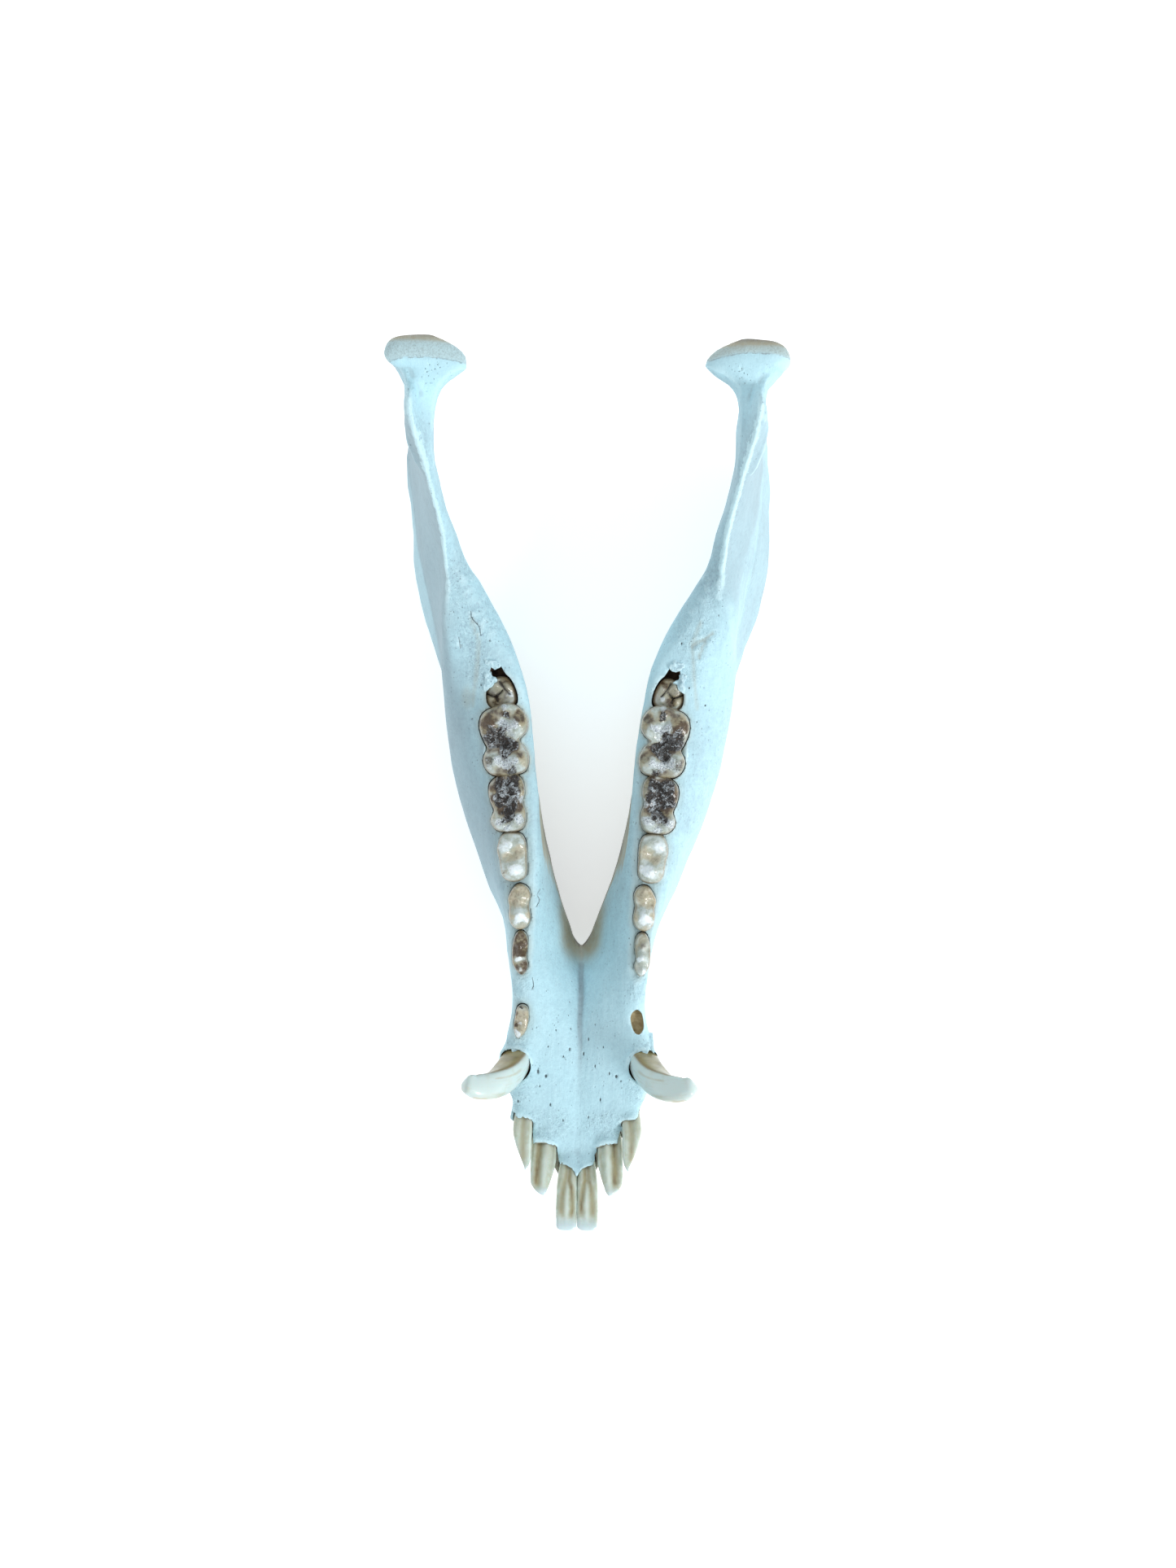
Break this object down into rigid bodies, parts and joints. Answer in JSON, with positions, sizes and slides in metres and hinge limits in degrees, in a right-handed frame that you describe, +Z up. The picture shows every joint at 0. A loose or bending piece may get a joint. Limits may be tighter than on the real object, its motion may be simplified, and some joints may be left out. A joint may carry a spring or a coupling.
{
  "type": "wild boar lower jaw",
  "caption": "Lower jaw of a young wild boar: two bone branches joined at the chin in a V, with upright rear plates, joint heads, incisors, cheek teeth and curved tusks.",
  "frame": {"origin": "centre of the bounding box in plan, at the level of the flats on the lower border that the jaw rests on", "axes": "+Z up from the lower border to the teeth; -Y towards the incisors and +Y towards the joint heads; +X towards the animal's left, across the jaw"},
  "size_m": [0.1156, 0.2519, 0.1041],
  "materials": {
    "bone": "satin",
    "tooth": "satin"
  },
  "bodies": {
    "root": {"mandible": "bone", "canine_left": "tooth", "canine_right": "tooth"}
  },
  "joints": []
}
